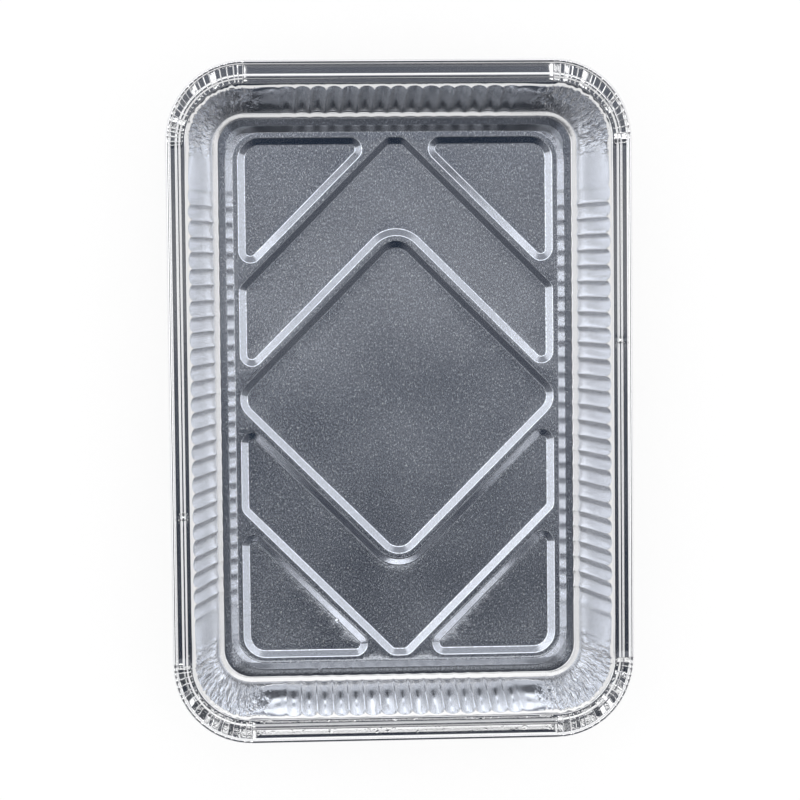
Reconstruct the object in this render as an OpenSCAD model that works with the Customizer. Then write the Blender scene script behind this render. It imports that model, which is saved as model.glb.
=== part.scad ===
// Aluminium foil tray, drawn and pressed from one sheet.
// Origin: centre of the underside. Z up, Y along the tray.

/* [Overall] */
// Length over the rolled rim
tray_length = 320; // [290:1:350]
// Width over the rolled rim
tray_width = 217.8; // [196:0.2:240]
// Height from the table to the top of the rolled rim
tray_height = 45; // [38:0.5:55]
// Thickness of the foil
foil_thickness = 0.1; // [0.08:0.01:0.16]

/* [Wall] */
// How far a long wall leans out from its foot to its top
side_lean = 12.7; // [9:0.1:16]
// How far an end wall leans out from its foot to its top
end_lean = 11.6; // [9:0.1:16]
// Radius of the bend between floor and wall
foot_radius = 2.6; // [1.5:0.1:4]
// Radius of the bend between wall and flange
lip_radius = 1.5; // [0.8:0.1:2.2]
// Corner radius of the floor, seen from above
corner_radius = 13.5; // [10:0.5:18]

/* [Flutes] */
// Distance from one flute to the next
flute_pitch = 7.5; // [6:0.25:10]
// Height of a flute, from its inner ridge to its outer lobe
flute_depth = 1.7; // [0.6:0.1:2.4]
// Length over which a flute fades out at the top and at the foot
flute_fade = 2.8; // [2:0.1:5]
// Plain wall that is left beside each corner on the long walls
side_plain = 20; // [16:0.5:26]
// Plain wall that is left beside each corner on the end walls
end_plain = 15; // [12:0.5:20]

/* [Corner gathers] */
// Number of gathers that take up the spare foil at each corner
gathers = 9; // [6:1:12]
// Depth of a gather at the top of the wall
gather_depth = 0.7; // [0.2:0.1:1.2]
// Depth of the crimps that go on across the flange and the rolled rim
crimp_depth = 0.4; // [0.1:0.05:0.6]

/* [Rim] */
// Width of the rim along the sides, from the top of the wall to the outer edge
rim_width = 10.5; // [9.5:0.1:13]
// Width of the rim along the ends
end_rim_width = 12.6; // [10.5:0.1:15]
// Distance from the top of the wall to the raised bead
bead_offset = 3.3; // [2.4:0.1:4]
// Width of the raised bead
bead_width = 2.5; // [1.8:0.1:3]
// Height of the raised bead over the flange
bead_height = 0.6; // [0.2:0.1:1]
// Diameter of the rolled edge
curl_diameter = 2.4; // [1.8:0.1:2.8]
// Height of the rolled edge over the flange
curl_rise = 1; // [0.4:0.1:1.4]

/* [Floor] */
// Width of the low channel that runs round the floor
gutter_width = 3.55; // [2.4:0.05:5]
// Height of the ribs over the panels
rib_height = 1.8; // [0.8:0.1:2.6]
// Width of the flat top of a rib
rib_width = 2.6; // [1.6:0.1:4]
// Width of a rib's sloping flank, seen from above
flank_width = 3.3; // [2:0.1:4]
// Width of the two chevron panels, square to their edges
chevron_width = 32.8; // [26:0.2:38]
// Corner radius of the diamond panel
diamond_radius = 10.5; // [6:0.5:14]
// Radius of the narrow corners of the chevrons and triangles
panel_radius = 5.7; // [4.5:0.1:7]

/* [Wear] */
// Place of the kink in the left rim, from the middle
kink_place = -53; // [-90:0.5:90]
// Place of the dent in the right rim, from the middle
dent_place = 27.5; // [-90:0.5:90]
// Half the length of the kink and of the dent
dent_reach = 3.5; // [2:0.5:6]
// How far the rolled edge is pushed in at its worst
dent_depth = 0.6; // [0.1:0.1:1]

/* [Hidden] */

// Degrees between neighbouring points of the arcs in the floor
arc_step = 15;
// How far a cutting tool runs past what it cuts
clear = 1;
// A plate thin enough to vanish in the slope that it starts
sliver = foil_thickness / 4;
// Where the floor sheet ends and the wall's ring begins, as shares of the gutter from its outer edge
sheet_end = 1 / 3;
ring_start = 2 / 3;
// Share of the thickness that the inner edge of the wall's ring keeps, inside the floor sheet
seam_share = 0.5;
// Pieces that the bends are drawn with
foot_pieces = 3;
lip_pieces = 2;
// Points of one flute, from one inner ridge towards the next
flute_steps = [0, 0.2, 0.5, 0.8];
// Strength of the first and the last ridge, which stand next to plain wall
end_ridge = 0.5;
// The flat top of the bead, as shares of its width
bead_top = [0.35, 0.65];
// Places round the rolled edge after its start, in degrees, and the radius that its tucked end keeps
curl_turns = [135, 90, 45, 0, -60, -140];
tuck = 0.75;

// The floor, and the rectangle that the corners turn about
floor_half = [tray_width / 2 - rim_width - side_lean, tray_length / 2 - end_rim_width - end_lean];
core = floor_half - [corner_radius, corner_radius];
rib_foot = floor_half - [gutter_width, gutter_width];
field = rib_foot - [flank_width + rib_width, flank_width + rib_width];

// Distances of the slanting lines from the middle, measured along an axis
diamond_line = field[0] + diamond_radius * (sqrt(2) - 1);
chevron_inner = diamond_line + rib_width * sqrt(2);
chevron_outer = chevron_inner + chevron_width * sqrt(2);
triangle_line = chevron_outer + rib_width * sqrt(2);
field_radius = corner_radius - gutter_width + flank_width - rib_width;

// Heights and runs of the wall
flange_height = tray_height - curl_rise;
flute_counts = [
    floor(2 * (core[1] - side_plain) / flute_pitch),
    floor(2 * (core[0] - end_plain) / flute_pitch)
];
corner_pieces = 2 * gathers;

// The floor and its ribs

// Points of the arc that rounds the corner at b, between a and c
function corner_points(a, b, c, r) =
    let (
        u = (b - a) / norm(b - a),
        v = (c - b) / norm(c - b),
        turn = atan2(u[0] * v[1] - u[1] * v[0], u * v),
        side = sign(turn),
        centre = b - u * r * tan(abs(turn) / 2) + [-u[1], u[0]] * r * side,
        from = atan2(u[1], u[0]) - 90 * side,
        pieces = ceil(abs(turn) / arc_step - 0.01)
    )
    [for (i = [0:pieces]) centre + r * [cos(from + turn * i / pieces), sin(from + turn * i / pieces)]];

// Rounded outline through corners that are given as [x, y, radius]
function rounded(corners) =
    let (n = len(corners), p = [for (c = corners) [c[0], c[1]]])
    [for (i = [0:n - 1]) each corner_points(p[(i + n - 1) % n], p[i], p[(i + 1) % n], corners[i][2])];

// Corners of a rectangle with half sizes h
function rectangle(h, r) = [[h[0], -h[1], r], [h[0], h[1], r], [-h[0], h[1], r], [-h[0], -h[1], r]];

// Each panel's corners, moved in by g from the edge of the rib top
function diamond_corners(g) =
    let (q = diamond_line - g * sqrt(2), r = diamond_radius - g)
    [[q, 0, r], [0, q, r], [-q, 0, r], [0, -q, r]];

function chevron_corners(g) =
    let (
        low = chevron_inner + g * sqrt(2),
        high = chevron_outer - g * sqrt(2),
        x = field[0] - g,
        y = field[1] - g,
        r = panel_radius - g,
        tip = high - y,
        crown = tip > r / 2 ? [[tip, y, r], [-tip, y, r]] : [[0, high, r]]
    )
    [
        [0, low, diamond_radius + rib_width + g],
        [x, low - x, r],
        [x, high - x, r],
        each crown,
        [-x, high - x, r],
        [-x, low - x, r],
    ];

function triangle_corners(g) =
    let (line = triangle_line + g * sqrt(2), x = field[0] - g, y = field[1] - g, r = panel_radius - g)
    [[x, line - x, r], [x, y, field_radius - g], [max(line - y, rib_width / 2 + g), y, r]];

module plate(corners, z, thickness = sliver) {
    translate([0, 0, z]) linear_extrude(thickness) polygon(rounded(corners));
}

// What a panel without a hollow corner presses out of the ribs, widening upwards
module pocket(bottom, top) {
    hull() {
        plate(bottom, 0);
        plate(top, rib_height, clear);
    }
}

// The same for a panel with a hollow corner
module bent_pocket(bottom, top) {
    low = rounded(bottom);
    high = rounded(top);
    n = len(low);
    polyhedron(
        [
            for (p = low) [p[0], p[1], 0],
            for (p = high) [p[0], p[1], rib_height],
            for (p = high) [p[0], p[1], rib_height + clear],
        ],
        [
            [for (i = [0:n - 1]) i],
            for (ring = [0, n]) for (i = [0:n - 1])
                let (j = (i + 1) % n)
                [ring + i, ring + n + i, ring + n + j, ring + j],
            [for (i = [n - 1:-1:0]) 2 * n + i],
        ]
    );
}

// The block under the ribs: its outer flank narrows up to the outer rib's top
module rib_block() {
    crown = field + [rib_width, rib_width];
    spread = [flank_width, flank_width];
    hull() {
        plate(rectangle(crown, field_radius + rib_width), rib_height - sliver);
        plate(rectangle(crown + spread, field_radius + rib_width + flank_width), -clear, clear);
    }
}

module pockets() {
    pocket(diamond_corners(flank_width), diamond_corners(0));
    for (end = [0, 1]) mirror([0, end, 0]) {
        bent_pocket(chevron_corners(flank_width), chevron_corners(0));
        for (side = [0, 1]) mirror([side, 0, 0])
            pocket(triangle_corners(flank_width), triangle_corners(0));
    }
}

// Everything below the upper face of the floor, or below its under face
module floor_form(margin) {
    reach = margin - gutter_width * sheet_end;
    outline = rectangle(floor_half + [reach, reach], corner_radius - gutter_width / 2 + margin);
    difference() {
        union() {
            plate(outline, -clear - margin, clear + margin);
            rib_block();
        }
        pockets();
    }
}

module floor_sheet() {
    difference() {
        translate([0, 0, foil_thickness]) floor_form(0);
        floor_form(clear);
    }
}

// The wall, the flange and the rolled edge

// Lean of the wall from the horizontal, so that it runs smoothly into both bends
function wall_angle(a = 75, n = 8) =
    n == 0 ? a : wall_angle(
        atan2(
            flange_height - foil_thickness - (foot_radius + lip_radius) * (1 - cos(a)),
            side_lean - foot_radius * sin(a)
        ),
        n - 1
    );

// A place on the section: [run, height], its kind of ring, and how much it has of the flutes and gathers
function place(at, ring, flute = 0, gather = [0, 0]) = [at, ring, flute, gather];

// Kinds of ring, from few points to many
PLAIN = 0;
CRIMPED = 1;
FLUTE_ENDS = 2;
FLUTED = 3;

function section() =
    let (
        a = wall_angle(),
        foot = [foot_radius * sin(a), foil_thickness + foot_radius * (1 - cos(a))],
        top = [side_lean, flange_height - lip_radius * (1 - cos(a))],
        fade = flute_fade * [cos(a), sin(a)],
        bead = side_lean + bead_offset,
        curl_radius = curl_diameter / 2,
        curl = [side_lean + rim_width - curl_radius, tray_height - curl_radius],
        curl_start = 180 - asin((flange_height - curl[1]) / curl_radius),
        crimp = [0, -crimp_depth]
    )
    [
        place([-gutter_width * ring_start, foil_thickness * (1 + seam_share) / 2], PLAIN),
        for (i = [0:foot_pieces])
            let (b = a * i / foot_pieces)
            place(
                [foot_radius * sin(b), foil_thickness + foot_radius * (1 - cos(b))],
                i == foot_pieces ? FLUTE_ENDS : PLAIN
            ),
        place(foot + fade, FLUTED, 1, [-gather_depth / 3, 0]),
        place(top - fade, FLUTED, 1, [-gather_depth, 0]),
        place(top, FLUTE_ENDS, 0, [-gather_depth / 2, -crimp_depth / 2]),
        for (i = [1:lip_pieces])
            let (b = a * (1 - i / lip_pieces))
            place(top + lip_radius * [sin(a) - sin(b), cos(b) - cos(a)], CRIMPED, 0, crimp * i / lip_pieces),
        place([bead, flange_height], CRIMPED, 0, crimp),
        for (s = bead_top) place([bead + bead_width * s, flange_height + bead_height], CRIMPED, 0, crimp),
        place([bead + bead_width, flange_height], CRIMPED, 0, crimp),
        for (b = concat([curl_start], curl_turns))
            let (r = b < -90 ? curl_radius * tuck : curl_radius)
            place(curl + r * [cos(b), sin(b)], CRIMPED, 0, -crimp_depth * [cos(b), sin(b)]),
    ];

// A station is a place along the tray's outline:
// [way along, point of the core, angle, flute, gather]
function turned(p, a) = [p[0] * cos(a) - p[1] * sin(a), p[0] * sin(a) + p[1] * cos(a)];

function side_size(side) = side % 2 == 0 ? core : [core[1], core[0]];

// Way along the outline where a side starts. A corner counts as an arc of twice the floor's radius
function way(side) =
    side == 0 ? 0 : way(side - 1) + 2 * side_size(side - 1)[1] + PI * corner_radius;

// Where the flutes of a side lie: [place, flute]
function flute_places(side, steps) =
    let (n = flute_counts[side % 2], start = -n * flute_pitch / 2)
    [
        for (i = [0:n - 1]) for (s = steps)
            [
                start + (i + s) * flute_pitch,
                (i == 0 && s == 0 ? end_ridge : 1) * flute_depth * (abs(sin(180 * s)) - 1 / 2)
            ],
        if (steps == flute_steps) [start + n * flute_pitch, -end_ridge * flute_depth / 2],
    ];

// Where the rim of a side is knocked: [place, push]
function knocks(side) =
    let (at = side == 0 ? [dent_place] : side == 2 ? [-kink_place] : [])
    [for (p = at) each [[p - dent_reach, 0], [p, dent_depth / crimp_depth], [p + dent_reach, 0]]];

function side_stations(side, ring) =
    let (
        size = side_size(side),
        flutes = ring == FLUTED ? flute_places(side, flute_steps)
            : ring == FLUTE_ENDS ? flute_places(side, [1 / 2])
            : [],
        dents = ring == CRIMPED ? knocks(side) : [],
        marks = [
            [-size[1], 0, 0],
            for (f = flutes) [f[0], f[1], 0],
            for (d = dents) [d[0], 0, d[1]],
            [size[1], 0, 0],
        ]
    )
    [for (m = marks) [way(side) + size[1] + m[0], turned([size[0], m[0]], 90 * side), 90 * side, m[1], m[2]]];

function corner_stations(side, ring) =
    let (
        size = side_size(side),
        n = ring == PLAIN ? gathers : corner_pieces,
        point = turned(size, 90 * side)
    )
    [
        for (i = [1:n - 1])
            [
                way(side) + 2 * size[1] + PI * corner_radius * i / n,
                point,
                90 * (side + i / n),
                0,
                ring == PLAIN ? 0 : i % 2
            ],
    ];

function stations(ring) =
    [for (side = [0:3]) each concat(side_stations(side, ring), corner_stations(side, ring))];

// The other face of the foil at place i of the section
function under(profile, i) =
    let (
        n = len(profile) - 1,
        before = profile[max(i, 1)][0] - profile[max(i, 1) - 1][0],
        after = profile[min(i, n - 1) + 1][0] - profile[min(i, n - 1)][0],
        u = [before[1], -before[0]] / norm(before),
        v = [after[1], -after[0]] / norm(after),
        thickness = i == 0 ? foil_thickness * seam_share : foil_thickness
    )
    profile[i][0] + thickness * (u + v) / (1 + u * v);

// How far a place on the section stands out along the ends, where the rim is wider outside its bead
function end_run(run) =
    let (
        past = run - side_lean,
        start = bead_offset + bead_width,
        share = (past - start) / (rim_width - curl_diameter - start)
    )
    past < 0
        ? run * end_lean / side_lean
        : end_lean + past + (end_rim_width - rim_width) * min(max(share, 0), 1);

function ring_points(profile, i, at) =
    let (ring = stations(profile[i][1]), flute = profile[i][2], gather = profile[i][3])
    [
        for (s = ring)
            let (run = at[0] + flute * s[3] + gather[0] * s[4])
            [
                s[1][0] + (corner_radius + run) * cos(s[2]),
                s[1][1] + (corner_radius + end_run(run)) * sin(s[2]),
                at[1] + gather[1] * s[4],
            ],
    ];

// For each point of one ring, the point of a coarser ring that it is joined to
function partners(fine, coarse) =
    let (
        n = len(coarse),
        round = way(4),
        halfway = [for (i = [0:n - 1]) (coarse[i][0] + (i == n - 1 ? round : coarse[i + 1][0])) / 2]
    )
    concat([for (s = fine) len([for (h = halfway) if (h <= s[0]) 1])], [n]);

// Triangles between two neighbouring rings, the first one further in
function band(inner, outer, inner_start, outer_start) =
    let (
        swap = len(outer) > len(inner),
        fine = swap ? outer : inner,
        coarse = swap ? inner : outer,
        f0 = swap ? outer_start : inner_start,
        c0 = swap ? inner_start : outer_start,
        n = len(fine),
        m = len(coarse),
        to = partners(fine, coarse)
    )
    [
        for (i = [0:n - 1])
            let (
                a = f0 + i,
                b = f0 + (i + 1) % n,
                joined = concat(
                    [[a, b, c0 + to[i] % m]],
                    [for (k = [to[i]:1:to[i + 1] - 1]) [b, c0 + (k + 1) % m, c0 + k % m]]
                )
            )
            each swap ? [for (t = joined) [t[0], t[2], t[1]]] : joined,
    ];

function total(list, n) = n == 0 ? 0 : list[n - 1] + total(list, n - 1);

// Quads that close the foil along one of its two cut edges
function edge_faces(start, count, other) =
    [for (i = [0:count - 1]) let (j = (i + 1) % count) [start + j, start + i, other + i, other + j]];

module wall_and_rim() {
    profile = section();
    rows = len(profile);
    rings = [for (p = profile) stations(p[1])];
    counts = [for (r = rings) len(r)];
    starts = [for (i = [0:rows]) total(counts, i)];
    upper = [for (i = [0:rows - 1]) each ring_points(profile, i, profile[i][0])];
    lower = [for (i = [0:rows - 1]) each ring_points(profile, i, under(profile, i))];
    skin = [for (i = [0:rows - 2]) each band(rings[i], rings[i + 1], starts[i], starts[i + 1])];
    far = starts[rows];
    last = starts[rows - 1];
    polyhedron(
        concat(upper, lower),
        concat(
            skin,
            [for (t = skin) [far + t[0], far + t[2], far + t[1]]],
            edge_faces(0, counts[0], far),
            [for (q = edge_faces(last, counts[rows - 1], far + last)) [q[3], q[2], q[1], q[0]]]
        ),
        convexity = 10
    );
}

module foil_tray() {
    color([0.78, 0.8, 0.83]) {
        floor_sheet();
        wall_and_rim();
    }
}

foil_tray();
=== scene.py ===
"""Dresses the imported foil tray: one pressed and crimped sheet of foil, its bare metal finish, and a pale studio."""

import math
import random

import bpy
import numpy as np
from bpy.props import FloatProperty, FloatVectorProperty, IntProperty, PointerProperty
from mathutils import Matrix, Vector, noise
from mathutils.geometry import delaunay_2d_cdt


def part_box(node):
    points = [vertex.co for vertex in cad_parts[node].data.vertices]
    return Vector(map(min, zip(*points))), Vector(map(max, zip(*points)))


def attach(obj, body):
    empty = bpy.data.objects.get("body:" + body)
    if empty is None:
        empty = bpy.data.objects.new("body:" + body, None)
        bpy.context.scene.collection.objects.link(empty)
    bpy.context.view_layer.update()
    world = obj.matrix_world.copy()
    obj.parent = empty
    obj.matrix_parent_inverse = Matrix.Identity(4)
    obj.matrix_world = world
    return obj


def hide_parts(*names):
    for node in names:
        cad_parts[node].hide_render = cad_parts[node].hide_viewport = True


bl_info = {
    "name": "Aluminium Foil Tray",
    "version": (1, 0, 0),
    "blender": (4, 5, 0),
    "location": "View3D > Sidebar > Foil Tray",
    "description": "Builds a pressed aluminium foil tray and a pale studio around its packed frame",
    "category": "Object",
}

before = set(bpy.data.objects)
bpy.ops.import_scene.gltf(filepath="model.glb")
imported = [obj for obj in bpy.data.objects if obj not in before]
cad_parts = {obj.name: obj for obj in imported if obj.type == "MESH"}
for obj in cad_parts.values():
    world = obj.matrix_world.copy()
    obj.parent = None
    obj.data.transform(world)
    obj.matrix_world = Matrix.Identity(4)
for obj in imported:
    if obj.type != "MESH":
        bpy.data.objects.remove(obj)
LOW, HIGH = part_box("foil_tray")
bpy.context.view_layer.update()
MM = 0.001


# What a user may change


def length(name, default_mm, description):
    """A size in metres, whose default is given in millimetres."""
    return FloatProperty(
        name=name, description=description, default=default_mm * MM, min=0.0,
        unit="LENGTH", subtype="DISTANCE", precision=5,
    )


def colour(name, default, description):
    """A colour without alpha."""
    return FloatVectorProperty(name=name, description=description, default=default, min=0, max=1, subtype="COLOR")


def roughness(name, default, description):
    """A roughness, from 0 for a mirror to 1 for chalk."""
    return FloatProperty(name=name, description=description, default=default, min=0, max=1, subtype="FACTOR")


class FoilTrayShape(bpy.types.PropertyGroup):
    """Sizes of the pressed sheet."""

    outer_width: length("Width", (HIGH.x - LOW.x) / MM, "Width over the rolled rim")
    outer_length: length("Length", (HIGH.y - LOW.y) / MM, "Length over the rolled rim")
    outer_height: length("Height", (HIGH.z - LOW.z) / MM, "Height from the table to the top of the rolled rim")
    foil: length("Foil", 0.1, "Thickness of the foil")
    side_lean: length("Side lean", 12.7, "How far a long wall leans out from its foot to its top")
    end_lean: length("End lean", 11.6, "How far an end wall leans out from its foot to its top")
    lip_radius: length("Lip radius", 1.5, "Bend between wall and flange")
    corner_radius: length("Corner radius", 13.5, "Corner radius of the floor, seen from above")
    flute_pitch: length("Flute pitch", 7.5, "Distance from one flute to the next")
    flute_depth: length("Flute depth", 1.7, "Height of a flute, from its inner ridge to its outer lobe")
    side_plain: length("Side plain", 20.0, "Plain wall beside each corner on the long walls")
    end_plain: length("End plain", 15.0, "Plain wall beside each corner on the end walls")
    crumple: length("Crumple", 0.55, "Depth of the gathers in the corner walls")
    sag: length("Sag", 0.9, "How far the plain wall beside each corner bulges inwards under the rim")
    pleats: IntProperty(
        name="Pleats", description="Pleats in the rim round one corner", default=20, min=6, max=30,
    )
    pleat_height: length("Pleat height", 0.42, "Height of the tallest fold between two pleats")
    rim_width: length("Rim width", 10.5, "Width of the rim along the sides, from the top of the wall outwards")
    end_rim_width: length("End rim width", 12.6, "Width of the rim along the ends")
    bead_offset: length("Bead offset", 3.3, "Distance from the top of the wall to the raised bead")
    bead_width: length("Bead width", 2.5, "Width of the raised bead")
    bead_height: length("Bead height", 0.6, "Height of the raised bead over the flange")
    curl_diameter: length("Curl diameter", 2.4, "Diameter of the rolled edge")
    curl_rise: length("Curl rise", 1.0, "Height of the rolled edge over the flange")
    gutter_width: length("Gutter width", 3.55, "Width of the low channel round the floor")
    rib_height: length("Rib height", 1.8, "Height of the ribs over the panels")
    rib_width: length("Rib width", 2.6, "Width of the flat top of a rib")
    flank_width: length("Flank width", 3.3, "Width of a rib's sloping flank, seen from above")
    chevron_width: length("Chevron width", 32.8, "Width of the two chevron panels, square to their edges")
    diamond_radius: length("Diamond radius", 10.5, "Corner radius of the diamond panel")
    panel_radius: length("Panel radius", 5.7, "Radius of the narrow corners of the chevrons and triangles")
    press_radius: length("Press radius", 0.35, "How far the press rounds an edge to each side of it")
    waviness: length("Waviness", 0.06, "How far the middle of a panel lifts off the table")


class FoilTrayFinish(bpy.types.PropertyGroup):
    """Colours and roughness of the bare foil."""

    # Partly painted: the floor is the foil's own grey, made darker than the walls' and tinted blue as a painted
    # reflection of the bluish room
    floor_colour: colour("Floor", (0.76, 0.8, 0.88), "Colour of the satin floor")
    # Painted shade: the darker colour of the channel and outer flank beside the end walls, standing for the shade
    # those walls cast
    end_shade_colour: colour("Floor ends", (0.33, 0.35, 0.39), "Colour of the channel and flank beside the end walls")
    wall_colour: colour("Wall", (0.945, 0.945, 0.955), "Colour of the bright walls and rim")
    floor_roughness: roughness("Floor roughness", 0.165, "Roughness of the satin floor")
    flank_roughness: roughness("Flank roughness", 0.27, "Roughness of the outer flank of the rib round the floor")
    wall_roughness: roughness("Wall roughness", 0.23, "Roughness of the walls")
    rim_roughness: roughness("Rim roughness", 0.1, "Roughness of the bright rim")
    grain: length("Grain", 0.62, "Size of the rolled grain")


class FoilTrayStudio(bpy.types.PropertyGroup):
    """The pale studio."""

    floor_colour: colour("Table", (0.95, 0.95, 0.95), "Colour of the table")
    card_colour: colour("Card", (0.008, 0.013, 0.026), "Colour of the dark card overhead")
    board_light: FloatProperty(
        name="Board light", description="Brightness of the white boards round the card", default=1.65, min=0,
    )
    lamp_power: FloatProperty(
        name="Lamp power", description="Power of each soft lamp", default=3.0, min=0, unit="POWER",
    )


# The outline that the wall and rim follow


# Knocks in the rim, as the side and the place along it from its middle. Side 0 is the right one, side 2 the left one.
KNOCKS = ((0, 27.5 * MM), (2, 53.0 * MM))

FLUTE_SEED, PLEAT_SEED = 11, 5

# Flutes: how far a ridge may stray, in pitches, how deep one may be, and how deep the last ones of a side are, as
# shares, and where the stations of one flute lie between its ridges
RIDGE_STRAY = 0.035
FLUTE_DEPTHS = (0.8, 0.92, 1.0, 1.0, 1.05)
LAST_FLUTE = 0.55
FLUTE_STATIONS = (0.0, 0.055, 0.2, 0.4, 0.6, 0.8, 0.945)
LOBE_END = math.cos(math.radians(49))

# Distances between stations on the plain wall and on the straight rim, and stations round one corner of the wall
PLAIN_STEP = 2.0 * MM
RIM_STEP = 4.0 * MM
CORNER_STATIONS = 56

# Half of the sharp bend between two pleats, as a share of the corner, and how a pleat may tilt, in pleat heights
HALF_FOLD = 0.006
PLEAT_TILTS = (-0.38, -0.16, -0.05, -0.02, 0.02, 0.05, 0.16, 0.38)


class Ring:
    """Stations along the outline, one to each vertex of a ring, in the order of their way along it.

    Each has a centre (x, y) that it stands out from, a direction (angle), the depth of its flute (deep), its place
    between ridge and lobe (wave), whether it is in a corner, and the heights of three folds.
    """

    def __init__(self, rows):
        table = np.array(sorted(rows, key=lambda r: r[0]))
        self.way, self.x, self.y, self.angle, self.deep, self.wave, self.corner = table[:, :7].T
        self.folds = table[:, 7:10]
        self.count = len(table)


class Outline:
    """The rounded rectangle round the floor, which the wall and rim are drawn to."""

    def __init__(self, shape):
        self.shape = shape
        self.radius = shape.corner_radius
        # A corner counts for twice its length at the floor, because the wall and rim stand out from it.
        self.turn = math.pi * self.radius
        self.half = (
            shape.outer_width / 2 - shape.rim_width - shape.side_lean,
            shape.outer_length / 2 - shape.end_rim_width - shape.end_lean,
        )
        self.core = (self.half[0] - self.radius, self.half[1] - self.radius)
        self.starts = [0.0]
        for side in range(4):
            self.starts.append(self.starts[-1] + 2 * self.size(side)[1] + self.turn)
        self.total = self.starts[4]

    def size(self, side):
        """Distance of a side from the middle, and half its straight length, both of the core rectangle."""
        return self.core if side % 2 == 0 else self.core[::-1]

    def plain(self, side):
        """Length of the plain wall between a corner and the nearest flute of a side."""
        return self.shape.side_plain if side % 2 == 0 else self.shape.end_plain

    def centre(self, side, along):
        """The place on the core rectangle at a distance along a side from its middle."""
        out = self.size(side)[0]
        c, s = math.cos(math.pi / 2 * side), math.sin(math.pi / 2 * side)
        return out * c - along * s, out * s + along * c

    def station(self, side, along, deep=0.0, wave=0.0, folds=(0.0, 0.0, 0.0)):
        """A station on the straight part of a side."""
        way = self.starts[side] + self.size(side)[1] + along
        return (way, *self.centre(side, along), math.pi / 2 * side, deep, wave, 0.0, *folds)

    def corner_station(self, side, share, folds=(0.0, 0.0, 0.0)):
        """A station in the corner that follows a side."""
        half = self.size(side)[1]
        way = self.starts[side] + 2 * half + self.turn * share
        return (way, *self.centre(side, half), math.pi / 2 * (side + share), 0.0, 0.0, 1.0, *folds)

    def end_run(self, run):
        """How far a place on the section stands out along the ends, where the rim is wider outside its bead."""
        s = self.shape
        past = run - s.side_lean
        start = s.bead_offset + s.bead_width
        share = np.clip((past - start) / (s.rim_width - s.curl_diameter - start), 0, 1)
        outside = s.end_lean + past + (s.end_rim_width - s.rim_width) * share
        return np.where(past < 0, run * s.end_lean / s.side_lean, outside)

    def place(self, ring, run, height):
        """Vertices of a ring that stands out from the foot of the wall by run."""
        x = ring.x + (self.radius + run) * np.cos(ring.angle)
        y = ring.y + (self.radius + self.end_run(run)) * np.sin(ring.angle)
        return np.stack([x, y, np.broadcast_to(height, x.shape)], 1)


def spread(start, end, step):
    """Even places from start up to but not including end."""
    pieces = max(1, math.ceil(abs(end - start) / step - 0.01))
    return [start + (end - start) * i / pieces for i in range(pieces)]


def lobe(share):
    """Depth across a flute, -1 on its two ridges and 0 in the middle of its lobe, which is an arc of 98 degrees."""
    return (math.sqrt(1 - (1 - LOBE_END**2) * (2 * share - 1) ** 2) - 1) / (1 - LOBE_END)


def wall_ring(shape, outline):
    """Stations of the wall: several to each flute, and close together in the corners."""
    chance = random.Random(FLUTE_SEED)
    pitch = shape.flute_pitch
    rows = []
    for side in range(4):
        half = outline.size(side)[1]
        flutes = int(2 * (half - outline.plain(side)) / pitch)
        start = -flutes * pitch / 2
        ridges = [start + (i + chance.uniform(-RIDGE_STRAY, RIDGE_STRAY)) * pitch for i in range(flutes + 1)]
        depths = [shape.flute_depth * chance.choice(FLUTE_DEPTHS) for _ in range(flutes)]
        depths[0] *= LAST_FLUTE
        depths[-1] *= LAST_FLUTE
        rows += [outline.station(side, t) for t in spread(-half, ridges[0], PLAIN_STEP)]
        for i, depth in enumerate(depths):
            before = depths[i - 1] if i else depth * 0.5
            for s in FLUTE_STATIONS:
                mixed = (depth + before) / 2 if s == 0 else depth
                rows.append(outline.station(side, ridges[i] + (ridges[i + 1] - ridges[i]) * s, mixed, lobe(s)))
        rows.append(outline.station(side, ridges[-1], 0.5 * depths[-1], -1.0))
        rows += [outline.station(side, t) for t in spread(half, ridges[-1], PLAIN_STEP)[1:]]
        rows += [outline.corner_station(side, i / CORNER_STATIONS) for i in range(CORNER_STATIONS)]
    return Ring(rows)


def rim_ring(shape, outline):
    """Stations of the rim: few on the straights, more at a knock, and four to each pleat in the corners."""
    chance = random.Random(PLEAT_SEED)
    tallest = shape.pleat_height
    rows = []
    for side in range(4):
        half = outline.size(side)[1]
        marks = spread(-half, half, RIM_STEP)
        for at in [knock[1] for knock in KNOCKS if knock[0] == side]:
            marks = [m for m in marks if abs(m - at) > 4.2 * MM] + [at + i * 0.7 * MM for i in range(-6, 7)]
        marks = [-half + 0.5 * MM] + marks[1:] + [half - 0.5 * MM]
        rows += [outline.station(side, t) for t in marks]
        widths = [chance.uniform(0.65, 1.35) for _ in range(shape.pleats)]
        folds = np.concatenate([[0.0], np.cumsum(widths)]) / sum(widths)
        for i, (fold, after) in enumerate(zip(folds, [*folds[1:], None])):
            tall = 1.0 if i in (0, shape.pleats) else chance.uniform(0.35, 1.0)
            rise = [tallest * tall * chance.uniform(0.5, 1.0) for _ in range(3)]
            rows.append(outline.corner_station(side, fold, rise))
            if after is None:
                break
            level = [tallest * chance.uniform(-0.07, 0.02) for _ in range(3)]
            tilt = tallest * chance.choice(PLEAT_TILTS)
            for share, lean in ((fold + HALF_FOLD, -1), ((fold + after) / 2, 0), (after - HALF_FOLD, 1)):
                rows.append(outline.corner_station(side, share, [a + lean * tilt for a in level]))
    return Ring(rows)


# The section through wall and rim


# Bends of the section, as (radius, slope before, slope after, pieces), slopes in degrees and None for the wall's own.
# The long ones are the chamfers, at foot and lip, that the flutes end on.
FOOT_BENDS = ((0.8 * MM, 0, 35, 3), (38.0 * MM, 35, 39, 2), (0.9 * MM, 39, None, 2))
LIP_BENDS = ((0.8 * MM, None, 43, 2), (11.0 * MM, 43, 35, 2), (0.7 * MM, 35, 0, 3))
CHAMFER = math.tan(math.radians(38))

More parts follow.
